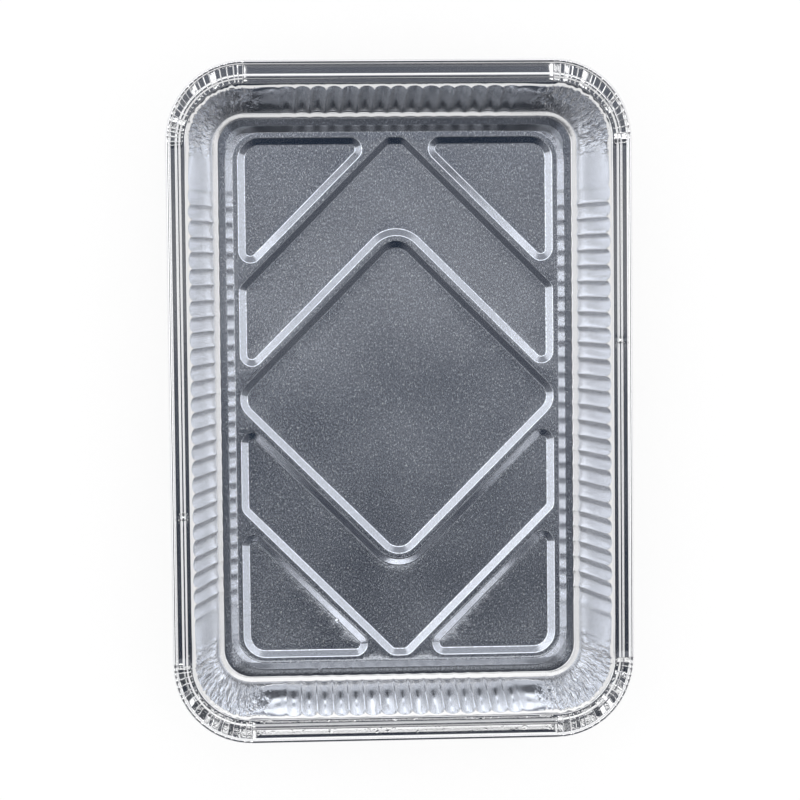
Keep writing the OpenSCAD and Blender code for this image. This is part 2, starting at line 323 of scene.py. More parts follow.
# Rows of the foot, one to each piece of its bends: share of the flutes, and share of the chamfer that they climb
FOOT_ROWS = ((0.19, 0.0), (0.21, 0.0), (0.23, 0.0), (0.3, 0.5), (0.44, 0.85), (0.53, 1.0), (0.6, 1.0))

# Rows of the wall: share of its height, share of the flutes, how far their middle stands out, share of the crumples
WALL_ROWS = (
    (0.03, 0.7, 0.5, 0.3), (0.1, 0.88, 0.48, 0.5), (0.25, 1.0, 0.45, 0.7), (0.42, 1.0, 0.42, 0.8),
    (0.58, 1.0, 0.38, 0.9), (0.72, 1.0, 0.34, 1.0), (0.83, 1.0, 0.32, 1.0), (0.92, 0.95, 0.31, 0.9),
    (1.0, 0.86, 0.3, 0.75),
)

# Rows of the lip, one to each piece of its bends: share of the flutes, and share of the crumples
LIP_ROWS = ((0.83, 0.6), (0.78, 0.5), (0.4, 0.3), (0.06, 0.1), (0.0, 0.0), (0.0, 0.0), (0.0, 0.0))

# Rows of the bead: share of its width, and share of its height
BEAD_ROWS = (
    (-0.05, 0.0), (0.0, 0.01), (0.05, 0.08), (0.19, 0.55), (0.31, 0.95), (0.37, 1.0),
    (0.63, 1.0), (0.69, 0.95), (0.81, 0.55), (0.95, 0.08), (1.0, 0.01), (1.05, 0.0),
)

# Rows of the rolled edge: degrees round its middle, from the flange over the top and under
ROLL_ROWS = (160, 136, 112, 88, 64, 38, 10, -20, -52, -88, -130)

# Creases of the corner walls: pitch, how much longer than wide, and share of the depth
CREASES = ((4.2 * MM, 5.0, 0.5), (2.1 * MM, 4.0, 0.33), (1.1 * MM, 3.0, 0.17))


def bent(bends, lean):
    """Runs, rises and slopes along a list of bends."""
    steps = []
    for radius, before, after, pieces in bends:
        a = lean if before is None else math.radians(before)
        b = lean if after is None else math.radians(after)
        for i in range(pieces):
            p, q = a + (b - a) * i / pieces, a + (b - a) * (i + 1) / pieces
            steps.append((radius * abs(math.sin(q) - math.sin(p)), radius * abs(math.cos(p) - math.cos(q)), q))
    return steps


def wall_rows(shape, flange_height):
    """Rows up the wall, from just inside its foot to just past its lip.

    Each has a run, a height, a slope, a share of the flutes, how far their middle stands out, how much they climb as
    they stand out, and a share of the crumples.
    """
    run_out = shape.side_lean + 1.07 * shape.lip_radius
    rise_up = flange_height - shape.foil
    lean = math.radians(76)
    for _ in range(12):
        steps = bent(FOOT_BENDS, lean) + bent(LIP_BENDS, lean)
        lean = math.atan2(rise_up - sum(s[1] for s in steps), run_out - sum(s[0] for s in steps))
    foot, lip = bent(FOOT_BENDS, lean), bent(LIP_BENDS, lean)
    run, height = 0.0, shape.foil
    rows = [(-1.0 * MM, height, 0.0, 0.0, 0.5, 0.0, 0.0), (run, height, 0.0, 0.14, 0.5, 0.0, 0.0)]
    for (out, up, slope), (flute, climb) in zip(foot, FOOT_ROWS):
        run, height = run + out, height + up
        rows.append((run, height, slope, flute, 0.5, CHAMFER * climb, 0.15 * flute))
    out, up = run_out - run - sum(s[0] for s in lip), flange_height - height - sum(s[1] for s in lip)
    for share, flute, stand, crumple in WALL_ROWS:
        chamfer = 0.7 * CHAMFER if share == 1.0 else 0.0
        rows.append((run + out * share, height + up * share, lean, flute, stand, chamfer, crumple))
    run, height = run + out, height + up
    for (out, up, slope), (flute, crumple) in zip(lip, LIP_ROWS):
        run, height = run + out, height + up
        rows.append((run, height, slope, flute, 0.26, CHAMFER, crumple))
    rows.append((run + 0.3 * MM, flange_height, 0.0, 0.0, 0.0, 0.0, 0.0))
    return rows


def rim_rows(shape, flange_height):
    """Rows across the rim, as run, height, and shares of the inner, outer and rolled folds, and the roll's middle."""
    bead = shape.side_lean + shape.bead_offset
    start = wall_rows(shape, flange_height)[-1][0] + 0.35 * MM
    rows = [(start, flange_height, 0.5, 0.0, 0.0), (start + (bead - start) * 0.5, flange_height, 1.0, 0.0, 0.0)]
    for share, rise in BEAD_ROWS:
        up = flange_height + shape.bead_height * rise
        rows.append((bead + shape.bead_width * share, up, 0.8 * (1 - share), 0.8 * share, 0.0))
    r = shape.curl_diameter / 2
    middle = (shape.side_lean + shape.rim_width - r, shape.outer_height - r)
    end = bead + shape.bead_width
    for share in (0.35, 0.7):
        rows.append((end + (middle[0] - r - 0.4 * MM - end) * share, flange_height, 0.0, 1.0, 0.0))
    rows.append((middle[0] - r - 0.22 * MM, flange_height, 0.0, 0.8, 0.1))
    rows.append((middle[0] - r - 0.06 * MM, flange_height + 0.04 * MM, 0.0, 0.6, 0.2))
    for degrees in ROLL_ROWS:
        b = math.radians(degrees)
        tuck = r * (0.78 if degrees < -100 else 1.0)
        outer = 0.2 if degrees > 100 else 0.0
        rows.append((middle[0] + tuck * math.cos(b), middle[1] + tuck * math.sin(b), 0.0, outer, 1.0))
    return rows, middle


def plain_share(way, outline):
    """1 in the middle of the plain wall between a corner and the nearest flute, and 0 elsewhere."""
    for side in range(4):
        half, plain = outline.size(side)[1], outline.plain(side)
        near = half - abs(way - outline.starts[side] - half)
        if -0.2 * plain < near < 0.9 * plain:
            return math.sin(math.pi * (near + 0.2 * plain) / (1.1 * plain)) ** 2
    return 0.0


def crumpled(way, climb, total):
    """Depth of the creases at a place on the wall, between about -1 and 1. The way is wrapped, so that they close."""
    turn = 2 * math.pi * way / total
    size = total / (2 * math.pi)
    x, y = size * math.cos(turn), size * math.sin(turn)
    lean = 0.35 * math.sin(x * 310 + y * 170) * climb
    value = 0.0
    for pitch, stretch, weight in CREASES:
        n = noise.noise(Vector(((x + lean) / pitch, (y - lean) / pitch, climb / (pitch * stretch))))
        value += weight * (1 - 4.2 * abs(n))
    return value


def knocked(ring, outline, across):
    """How far the knocks in the rim press it down, across being the distance from the top of the wall."""
    change = np.zeros(ring.count)
    for side, at in KNOCKS:
        way = outline.starts[side] + outline.size(side)[1] + at
        along = (ring.way - way) / (1.5 * MM)
        width = math.exp(-(((across - 4.6 * MM) / (1.6 * MM)) ** 2))
        change -= 0.55 * MM * width * np.exp(-(along**2)) * (1 - 1.6 * np.exp(-((along / 0.45) ** 2)))
    return change


# The floor and its ribs


# Loose points lift the panels: how far apart they are, how far off the loops of the flanks they stay, and how far
# from there the lift is full
LOOSE_STEP = 6.0 * MM
LOOSE_GAP = 2.6 * MM
LOOSE_FADE = 14 * MM


def arc(before, corner, after, radius, degrees=9.0):
    """Points of the arc that rounds a corner."""
    before, corner, after = (np.array(p) for p in (before, corner, after))
    u = (corner - before) / np.linalg.norm(corner - before)
    v = (after - corner) / np.linalg.norm(after - corner)
    turn = math.atan2(u[0] * v[1] - u[1] * v[0], float(u @ v))
    side = math.copysign(1, turn)
    centre = corner - u * radius * math.tan(abs(turn) / 2) + np.array([-u[1], u[0]]) * radius * side
    start = math.atan2(u[1], u[0]) - math.pi / 2 * side
    pieces = math.ceil(abs(turn) / math.radians(degrees) - 0.01)
    angles = [start + turn * i / pieces for i in range(pieces + 1)]
    return [centre + radius * np.array([math.cos(a), math.sin(a)]) for a in angles]


def rounded(corners, step=4.0 * MM):
    """Closed outline through corners given as (x, y, radius), with points along its straight parts too."""
    n = len(corners)
    points = []
    for i, (x, y, r) in enumerate(corners):
        points += arc(corners[i - 1][:2], (x, y), corners[(i + 1) % n][:2], r)
    filled = []
    for i, p in enumerate(points):
        q = points[(i + 1) % len(points)]
        gap = float(np.linalg.norm(q - p))
        if gap > 1e-6:
            filled += [p + (q - p) * s for s in spread(0.0, 1.0, step / gap)]
    return np.array(filled)


class FloorPlan:
    """Corners of each panel, moved in by g from the edge of the rib tops, and of the ribs' outer edge."""

    def __init__(self, shape, outline):
        self.shape = shape
        self.field = [h - shape.gutter_width - shape.flank_width - shape.rib_width for h in outline.half]
        self.diamond = self.field[0] + shape.diamond_radius * (math.sqrt(2) - 1)
        self.inner = self.diamond + shape.rib_width * math.sqrt(2)
        self.outer = self.inner + shape.chevron_width * math.sqrt(2)
        self.corner = self.outer + shape.rib_width * math.sqrt(2)
        self.field_radius = shape.corner_radius - shape.gutter_width + shape.flank_width - shape.rib_width

    def diamond_corners(self, g):
        q, r = self.diamond - g * math.sqrt(2), self.shape.diamond_radius - g
        return [(q, 0, r), (0, q, r), (-q, 0, r), (0, -q, r)]

    def chevron_corners(self, g):
        low, high = self.inner + g * math.sqrt(2), self.outer - g * math.sqrt(2)
        x, y, r = self.field[0] - g, self.field[1] - g, self.shape.panel_radius - g
        tip = high - y
        hollow = self.shape.diamond_radius + self.shape.rib_width + g
        right = [(0, low, hollow), (x, low - x, r), (x, high - x, r), (tip, y, r)]
        return right + [(-px, py, pr) for px, py, pr in right[:0:-1]]

    def triangle_corners(self, g):
        line, x, y = self.corner + g * math.sqrt(2), self.field[0] - g, self.field[1] - g
        r = self.shape.panel_radius - g
        return [(x, line - x, r), (x, y, self.field_radius - g), (line - y, y, r)]

    def rib_edge(self, g):
        x, y, r = (size + self.shape.rib_width + g for size in (*self.field, self.field_radius))
        return [(x, -y, r), (x, y, r), (-x, y, r), (-x, -y, r)]

    def panels(self, g):
        """Closed outlines of the seven panels."""
        found = [rounded(self.diamond_corners(g))]
        for end in (1, -1):
            found.append(rounded(self.chevron_corners(g)) * (1, end))
            found += [rounded(self.triangle_corners(g)) * (side, end) for side in (1, -1)]
        return found

    def slope(self, g):
        """Height on a flank that starts at g = 0, with both of its edges rounded by the press."""
        s, t = self.shape, self.shape.press_radius
        pitch = s.rib_height / s.flank_width
        if g < -t:
            return s.rib_height
        if g < t:
            return s.rib_height - pitch * (g + t) ** 2 / (4 * t)
        if g < s.flank_width - t:
            return s.rib_height - pitch * g
        if g < s.flank_width + t:
            return pitch * (s.flank_width + t - g) ** 2 / (4 * t)
        return 0.0


def inside(points, polygon):
    """Which points lie inside a closed outline."""
    x, y = points[:, 0], points[:, 1]
    found = np.zeros(len(points), bool)
    for (x0, y0), (x1, y1) in zip(polygon, np.roll(polygon, -1, 0)):
        if y0 != y1:
            found ^= ((y0 > y) != (y1 > y)) & (x < (x1 - x0) * (y - y0) / (y1 - y0) + x0)
    return found


def floor_points(shape, outline):
    """Loops along every flank, and loose points in the panels: places, heights over the table, the loops' edges."""
    plan = FloorPlan(shape, outline)
    t, w = shape.press_radius, shape.flank_width
    steps = (-t, -t / 2, 0, t / 2, t, w - t, w - t / 2, w, w + t / 2, w + t)
    places, heights, edges = [], [], []
    for g in steps:
        for loop in plan.panels(g) + [rounded(plan.rib_edge(g))]:
            start = len(places)
            places += list(loop)
            heights += [plan.slope(g)] * len(loop)
            edges += [(start + i, start + (i + 1) % len(loop)) for i in range(len(loop))]
    loops = np.array(places)
    counts = [math.floor(h / LOOSE_STEP) for h in outline.half]
    xs, ys = (np.arange(-count, count + 1) * LOOSE_STEP for count in counts)
    loose = np.array([(x, y) for x in xs for y in ys])
    level = np.zeros(len(loose), bool)
    for panel in plan.panels(w + t):
        level |= inside(loose, panel)
    clear = np.array([math.sqrt(np.min(np.sum((loops - p) ** 2, 1))) for p in loose]) - LOOSE_GAP
    kept = level & (clear > 0)
    for (x, y), room in zip(loose[kept], clear[kept]):
        lift = 0.5 + 0.5 * noise.noise(Vector((x * 24, y * 24, 3.1)))
        places.append(np.array([x, y]))
        heights.append(shape.waviness * lift * min(1.0, room / LOOSE_FADE))
    return np.array(places), np.array(heights) + shape.foil, edges


# One sheet


# How far past a corner its creases reach, how much of them the fluted wall keeps, and where under the rim the plain
# wall bulges: the middle and the reach, as shares of the flange's height
CREASE_REACH = 11 * MM
CREASE_TRACE = 0.07
SAG_MIDDLE, SAG_REACH = 0.82, 0.13


def bridge(start_a, ring_a, start_b, ring_b):
    """Triangles between two closed rings whose stations differ, the first one further in."""
    n, m = ring_a.count, ring_b.count
    next_a, next_b = ([*ring.way[1:], 1e9, math.inf] for ring in (ring_a, ring_b))
    i = j = 0
    faces = []
    while i < n or j < m:
        a, b = start_a + i % n, start_b + j % m
        if next_a[i] <= next_b[j]:
            i += 1
            faces.append((a, b, start_a + i % n))
        else:
            j += 1
            faces.append((a, b, start_b + j % m))
    return faces


def band(start_a, start_b, n):
    """Quads between two closed rings of n stations each, the first one further in."""
    return [(start_a + i, start_b + i, start_b + (i + 1) % n, start_a + (i + 1) % n) for i in range(n)]


class Sheet:
    """The whole sheet as one open surface: places, faces, and a flat map of the wall and rim.

    It also has the number of the first floor face, and those of the pleats, which meet in sharp folds.
    """

    def __init__(self, shape):
        self.shape = shape
        self.outline = Outline(shape)
        self.flange_height = shape.outer_height - shape.curl_rise
        self.places, self.faces, self.chart, self.pleats = [], [], [], []
        self.climb, self.last = 0.0, None
        self.fine, self.coarse = wall_ring(shape, self.outline), rim_ring(shape, self.outline)
        self.draw_wall()
        self.draw_rim()
        self.first_floor_face = len(self.faces)
        self.press_floor()

    def climb_to(self, run, height):
        """Measures how far along the section the next row lies."""
        if self.last:
            self.climb += math.hypot(run - self.last[0], height - self.last[1])
        self.last = (run, height)

    def add_row(self, ring, places):
        """Adds a row of vertices, and gives the number of the first one."""
        start = len(self.places)
        self.places += list(places)
        self.chart += [(way, self.climb) for way in ring.way]
        return start

    def creased(self):
        """How much of the creases each station of the wall has: they reach a little past each corner."""
        total, reach = self.outline.total, self.outline.turn / 2
        corners = [start - reach for start in self.outline.starts[1:]]
        gap = np.min([np.abs((self.fine.way - w + total / 2) % total - total / 2) for w in corners], 0)
        share = np.clip(1 - (gap - reach * 0.9) / CREASE_REACH, 0, 1) ** 1.5
        return CREASE_TRACE + (1 - CREASE_TRACE) * share

    def draw_wall(self):
        """Adds the wall, from its foot to its lip."""
        shape, outline, fine = self.shape, self.outline, self.fine
        creased = self.creased()
        sagging = np.array([plain_share(w, outline) for w in fine.way])
        for run, height, slope, flute, stand, chamfer, crumple in wall_rows(shape, self.flange_height):
            self.climb_to(run, height)
            depth = np.zeros(fine.count)
            if crumple:
                depth = np.array([crumpled(w, self.climb, outline.total) for w in fine.way])
            push = shape.crumple * crumple * depth * creased
            under = math.exp(-(((height / self.flange_height - SAG_MIDDLE) / SAG_REACH) ** 2))
            push = push - shape.sag * sagging * math.sin(slope) * under
            flutes = fine.deep * flute * (fine.wave + stand)
            out, up = run + flutes + push * math.sin(slope), height + flutes * chamfer - push * math.cos(slope)
            start = self.add_row(fine, outline.place(fine, out, up))
            if start:
                self.faces += band(start - fine.count, start, fine.count)

    def draw_rim(self):
        """Adds the flange with its bead and pleats, and the rolled edge."""
        shape, outline, fine, coarse = self.shape, self.outline, self.fine, self.coarse
        n = coarse.count
        pleated = [i for i in range(n) if coarse.corner[i] and coarse.corner[(i + 1) % n]]
        rows, middle = rim_rows(shape, self.flange_height)
        tuck = np.clip(0.35 * shape.pleat_height - 0.5 * coarse.folds[:, 2], 0, 1)
        shrink = 1 - tuck / (shape.curl_diameter / 2) * coarse.corner
        top = shape.outer_height - 0.02 * MM
        before = None
        for run, height, inner, outer, rolled in rows:
            self.climb_to(run, height)
            lift = coarse.folds[:, 0] * inner + coarse.folds[:, 1] * outer
            knock = knocked(coarse, outline, run - shape.side_lean)
            if rolled == 1.0:
                run = middle[0] + (run - middle[0]) * shrink
                height, lift = middle[1] + (height - middle[1]) * shrink, lift * 0.5
            start = self.add_row(coarse, outline.place(coarse, run, np.minimum(height + lift, top) + knock))
            if before is None:
                self.faces += bridge(start - fine.count, fine, start, coarse)
            else:
                if rolled < 1.0:
                    self.pleats += [len(self.faces) + i for i in pleated]
                self.faces += band(before, start, n)
            before = start

    def press_floor(self):
        """Adds the floor with its ribs, joined to the wall's first row."""
        n = self.fine.count
        plan, heights, edges = floor_points(self.shape, self.outline)
        given = [Vector(place[:2]) for place in self.places[:n]] + [Vector(p) for p in plan]
        lines = [(i, (i + 1) % n) for i in range(n)] + [(a + n, b + n) for a, b in edges]
        verts, _, tris, origins, _, _ = delaunay_2d_cdt(given, lines, [], 1, 1e-7)
        index = []
        for v, source in zip(verts, origins):
            if source and source[0] < n:
                index.append(source[0])
                continue
            index.append(len(self.places))
            near = source[0] - n if source else int(np.argmin(np.sum((plan - np.array(v)) ** 2, 1)))
            self.places.append(np.array([v[0], v[1], heights[near]]))
            self.chart.append((v[0], v[1]))
        self.faces += [tuple(index[i] for i in t) for t in tris]


class FOILTRAY_OT_sheet(bpy.types.Operator):
    """Makes the pressed sheet of foil in place of the frame's plain one"""

    bl_idname = "foil_tray.sheet"
    bl_label = "Foil sheet"

    def execute(self, context):
        shape = context.scene.foil_tray_shape
        drawn = Sheet(shape)
        places = np.array(drawn.places)
        mesh = bpy.data.meshes.new("pressed_foil")
        mesh.from_pydata([tuple(p) for p in places], [], drawn.faces)
        smooth = np.ones(len(mesh.polygons), bool)
        smooth[drawn.pleats] = False
        mesh.polygons.foreach_set("use_smooth", smooth)
        corners = np.empty(len(mesh.loops), np.int32)
        mesh.loops.foreach_get("vertex_index", corners)
        flat = np.array(drawn.chart)[corners]
        floor_start = mesh.polygons[drawn.first_floor_face].loop_start
        flat[floor_start:] = places[corners[floor_start:], :2]
        layer = mesh.uv_layers.new(name="FoilMap")
        layer.uv.foreach_set("vector", (flat * MAP_SCALE).ravel().astype(np.float32))
        mesh.validate()
        sheet = bpy.data.objects.new("pressed_foil", mesh)
        context.scene.collection.objects.link(sheet)
        solid = sheet.modifiers.new("Foil thickness", "SOLIDIFY")
        solid.thickness = shape.foil
        solid.offset = -1
        mesh.materials.append(bare_foil(context.scene.foil_tray_finish, shape))
        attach(sheet, "root")
        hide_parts("foil_tray")
        return {"FINISHED"}


# The finish


# Units of the flat map to a metre
MAP_SCALE = 10

# Nicks in the floor, as (x, y, z), radius and height, in millimetres
NICKS = (((-30.5, -109.1, 0.5), 1.3, 0.4), ((-39.4, -132.4, 0.6), 1.2, 0.35))

# Gathers of the corner walls, as how many lie across and along a unit of the flat map, and their height
GATHERS = ((34.0, 5.0, 1.2 * MM), (80.0, 11.0, 0.45 * MM))


class Nodes:
    """Short ways to add and link nodes."""

    def __init__(self, tree):
        self.tree = tree
        tree.nodes.clear()

    def feed(self, socket, value):
        """Links a socket to an output or sets its value, a colour without its alpha."""
        if isinstance(value, bpy.types.NodeSocket):
            self.tree.links.new(value, socket)
        else:
            socket.default_value = (*value, 1.0) if socket.type == "RGBA" else value

    def add(self, kind, settings=None, *values, **inputs):
        """Adds a node whose inputs are given in their order or by name."""
        node = self.tree.nodes.new(kind)
        for name, value in (settings or {}).items():
            setattr(node, name, value)
        for socket, value in zip(node.inputs, values):
            self.feed(socket, value)
        for name, value in inputs.items():
            self.feed(node.inputs[name.replace("_", " ")], value)
        return node

    def math(self, operation, *values):
        return self.add("ShaderNodeMath", {"operation": operation}, *values).outputs[0]

    def product(self, first, *values):
        """Multiplies values."""
        for value in values:
            first = self.math("MULTIPLY", first, value)
        return first

    def other(self, value):
        """1 less a value."""
        return self.math("SUBTRACT", 1.0, value)

    def away(self, value, middle):
        """How far a value lies from a middle one."""
        return self.math("ABSOLUTE", self.math("SUBTRACT", value, middle))

    def hypot(self, *values):
        return self.math("SQRT", self.math("ADD", *[self.math("POWER", v, 2.0) for v in values]))

    def layered(self, base, *layers):
        """Adds layers to a base value, each of them a pattern and its amount."""
        for pattern, amount in layers:
            base = self.math("MULTIPLY_ADD", pattern, amount, base)
        return base

    def ramp(self, value, low, high, start=0.0, end=1.0, smooth=True):
        """Carries value from low..high to start..end."""
        settings = {"interpolation_type": "SMOOTHSTEP" if smooth else "LINEAR"}
        return self.add("ShaderNodeMapRange", settings, value, low, high, start, end).outputs[0]

    def vector(self, operation, *values, output="Vector", **inputs):
        return self.add("ShaderNodeVectorMath", {"operation": operation}, *values, **inputs).outputs[output]

    def parts(self, vector):
        """The X, Y and Z of a vector."""
        return self.add("ShaderNodeSeparateXYZ", None, vector).outputs

    def noise(self, place, scale, detail, output=0, **inputs):
        node = self.add("ShaderNodeTexNoise", Vector=place, Scale=scale, Detail=detail, **inputs)
        return node.outputs[output]

    def blend(self, factor, a, b):
        """Mixes two colours."""
        node = self.add("ShaderNodeMix", {"data_type": "RGBA"}, factor)
        self.feed(node.inputs[6], a)
        self.feed(node.inputs[7], b)
        return node.outputs[2]

    def mix(self, factor, a, b):
        """Mixes two shaders."""
        return self.add("ShaderNodeMixShader", None, factor, a.outputs[0], b.outputs[0]).outputs[0]


class Zones:
    """Masks of the tray's areas, each 1 inside its area and 0 outside."""

    def __init__(self, n, shape):
        outline = Outline(shape)
        self.place = n.add("ShaderNodeTexCoord").outputs["Object"]
        self.normal = n.add("ShaderNodeNewGeometry").outputs["Normal"]
        part = n.parts(self.place)

        # How far a place lies past the middles of the corner turns, along each axis and in all
        beyond = [n.math("SUBTRACT", n.math("ABSOLUTE", part[axis]), outline.core[i]) for i, axis in enumerate("XY")]
        from_turn = n.hypot(*[n.math("MAXIMUM", b, 0.0) for b in beyond])
        gutter = outline.radius - shape.gutter_width
        flank = gutter - shape.flank_width
        soft = 0.4 * MM

        self.wall = n.ramp(from_turn, outline.radius - 0.6 * MM, outline.radius + 0.2 * MM)
        self.floor = n.other(self.wall)
        self.rim = n.ramp(part["Z"], shape.outer_height - 3.5 * MM, shape.outer_height - 2.0 * MM)
        self.below_rim = n.other(self.rim)
        self.corner = n.product(n.ramp(n.math("MINIMUM", *beyond), -11 * MM, 1 * MM), self.wall)
        self.corner_wall = n.product(self.corner, self.below_rim, n.ramp(part["Z"], 2.5 * MM, 7.0 * MM))
        self.end_wall = n.product(self.wall, n.other(n.math("ABSOLUTE", n.parts(self.normal)["X"])))

        # The panels and the rib tops, but not the flanks between them
        rib_middle = shape.foil + shape.rib_height / 2
        self.level = n.ramp(n.away(part["Z"], rib_middle), 0.68 * MM, 0.8 * MM)

        # The outer flank of the rib round the floor, and that flank with the channel at the two ends, which gets the
        # painted shade of the end walls
        past_rib = n.ramp(from_turn, flank - soft, flank)
        self.outer_flank = n.product(n.ramp(from_turn, gutter, gutter - soft), past_rib)
        at_ends = n.ramp(n.math("SUBTRACT", beyond[1], beyond[0]), -2 * MM, 4 * MM)
        self.shaded_floor_ends = n.product(n.product(self.floor, past_rib), at_ends)


def foil_height(n, zones, grain):
    """Height of the bumps: grain and long streaks on the floor, gathers in the corner walls, dings in the rim."""
    place = zones.place
    streaks = n.noise(n.vector("MULTIPLY", place, (1500.0, 45.0, 60.0)), 1.0, 1.0)
    crinkle = n.noise(place, 1100.0, 2.0)
    dings = n.ramp(n.noise(place, 420.0, 1.0), 0.6, 0.72)
    grain_height = n.layered(0.003 * MM, (zones.floor, 0.012 * MM))
    layers = [(streaks, n.product(zones.floor, 0.006 * MM))]

    # The gathers are drawn out along the climb of the wall.
    chart = n.add("ShaderNodeUVMap", {"uv_map": "FoilMap"}).outputs[0]
    swerve = n.noise(chart, 14.0, 1.0, "Color")
    bent_chart = n.vector("MULTIPLY_ADD", swerve, (0.035, 0.02, 0.0), chart)
    flat_cells = {"voronoi_dimensions": "2D", "feature": "F1"}
    for across, along, tall in GATHERS:
        drawn = n.vector("MULTIPLY", bent_chart, (across, along, 1.0))
        cells = n.add("ShaderNodeTexVoronoi", flat_cells, Vector=drawn, Scale=1.0, Randomness=1.0)
        layers.append((cells.outputs["Distance"], n.product(zones.corner_wall, tall)))

    layers.append((crinkle, n.product(zones.corner, 0.02 * MM)))
    layers.append((dings, n.product(zones.rim, 0.006 * MM)))
    for spot, reach, tall in NICKS:
        away = n.vector("DISTANCE", place, [v * MM for v in spot], output="Value")
        layers.append((n.ramp(away, 0.0, reach * MM, 1.0, 0.0), tall * MM))
    return n.layered(n.product(n.math("SUBTRACT", grain, 0.5), grain_height), *layers)


def foil_roughness(n, zones, grain, finish):
    """Satin with fine pits on the floor, duller on the outer flank, bright on the end walls, corners and rim."""
    clouds = n.noise(zones.place, 18.0, 2.0)
    brighter = n.product(n.math("MAXIMUM", zones.end_wall, zones.corner), zones.below_rim)
    pits = n.product(zones.floor, zones.level, n.ramp(grain, 0.54, 0.74))
    return n.layered(
        finish.wall_roughness,
        (zones.floor, finish.floor_roughness - finish.wall_roughness),
        (zones.rim, finish.rim_roughness - finish.wall_roughness),
        (zones.outer_flank, finish.flank_roughness - finish.floor_roughness),
        (brighter, -0.09),
        (n.math("SUBTRACT", clouds, 0.5), 0.08),
        (pits, 0.075),
    )


def bare_foil(finish, shape):
    """Bare rolled foil: satin and grained on the floor, bright on the walls and rim, creased in the corners."""
    material = bpy.data.materials.new("bare_foil")
    material.use_nodes = True
    n = Nodes(material.node_tree)
    zones = Zones(n, shape)
    rolled = n.vector("MULTIPLY", zones.place, (1.0, 0.55, 0.7))
    grain = n.noise(rolled, 1 / finish.grain, 2.0, Roughness=0.65)
    bump = n.add("ShaderNodeBump", Strength=1.0, Distance=1.0, Height=foil_height(n, zones, grain))

    # The floor gets a darker, bluer colour than the walls of the same foil, as a painted reflection of the bluish
    # room
    base = n.blend(zones.floor, finish.wall_colour, finish.floor_colour)
    # Painted shade: the channel and outer flank beside the end walls are darkened to stand for the shade of those
    # walls
    base = n.blend(zones.shaded_floor_ends, base, finish.end_shade_colour)
    grained = n.product(zones.floor, n.layered(0.4, (zones.level, 0.8)))
    worn = n.layered(1.0, (n.math("SUBTRACT", grain, 0.5), grained))

    # The foil was rolled along the tray, so it scatters light mostly across that.
    shader = n.add(
        "ShaderNodeBsdfPrincipled",
        Base_Color=n.vector("SCALE", base, Scale=worn),
        Metallic=1.0,
        Roughness=foil_roughness(n, zones, grain, finish),
        Anisotropic=0.95,
        Tangent=n.vector("CROSS_PRODUCT", (0.0, 1.0, 0.0), zones.normal),
        Normal=bump.outputs[0],
    )
    n.add("ShaderNodeOutputMaterial", Surface=shader.outputs[0])
    return material


# The studio


WHITE = (1.0, 1.0, 1.0)

# Half the table's width, how far it lies under the tray, and how much of what is seen of it is a plain white glow
TABLE_REACH = 6.0
TABLE_DROP = 0.3 * MM
GLOW_SEEN, GLOW_MIRRORED = 0.8, 0.3

# The soft lamps, as (name, place, size) in metres
LAMPS = (
    ("left_lamp", (-1.4, -0.1, 1.5), 1.2),
    ("right_lamp", (1.4, -0.1, 1.5), 1.2),
    ("far_lamp", (0.0, 1.5, 1.5), 1.4),
)

# Greys of the room that the foil mirrors: the dark front, beside it, the card's far part, and the boards' far parts
FRONT_HIGH, FRONT_LOW = (0.075, 0.08, 0.09), (0.012, 0.02, 0.035)
ASIDE_HIGH, ASIDE_LOW = (0.55, 0.555, 0.57), (0.06, 0.065, 0.08)
CARD_FAR, CARD_SHEEN = (0.11, 0.12, 0.145), (0.16, 0.165, 0.18)
BOARD_LOW, BOARD_FAR = (0.6, 0.61, 0.64), (0.3, 0.31, 0.33)

# The camera, fitted to the rim and the floor in the photograph: focal length and image width in pixels, sensor width
# in millimetres, place in metres, and turns in degrees
FOCAL, IMAGE_WIDTH, SENSOR = 2257.1, 800, 36.0
CAMERA_PLACE = (-0.05597, 0.05882, 1.09794)
CAMERA_TURNS = ((-3.13, "X"), (-2.98, "Y"), (-0.74, "Z"))


def sent_on(n, path):
    """1 for rays that metal or glass sends on, and 0 for others."""
    return n.math("MAXIMUM", path["Is Glossy Ray"], path["Is Transmission Ray"])


class FOILTRAY_OT_stage(bpy.types.Operator):
    """Lays the pale table under the tray"""

    bl_idname = "foil_tray.stage"
    bl_label = "Table"

    def execute(self, context):
        mesh = bpy.data.meshes.new("table")
        square = [(x * TABLE_REACH, y * TABLE_REACH, 0) for x, y in ((-1, -1), (1, -1), (1, 1), (-1, 1))]
        mesh.from_pydata(square, [], [(0, 1, 2, 3)])
        table = bpy.data.objects.new("table", mesh)
        context.scene.collection.objects.link(table)
        table.location.z = -TABLE_DROP
        material = bpy.data.materials.new("pale_table")
        material.use_nodes = True
        n = Nodes(material.node_tree)
        path = n.add("ShaderNodeLightPath").outputs
        seen = n.product(path["Is Camera Ray"], GLOW_SEEN)
        share = n.math("MAXIMUM", seen, n.product(sent_on(n, path), GLOW_MIRRORED))
        paint = n.add("ShaderNodeBsdfDiffuse", Color=context.scene.foil_tray_studio.floor_colour)
        glow = n.add("ShaderNodeEmission", Color=WHITE, Strength=1.0)
        n.add("ShaderNodeOutputMaterial", Surface=n.mix(share, paint, glow))
        mesh.materials.append(material)
        return {"FINISHED"}


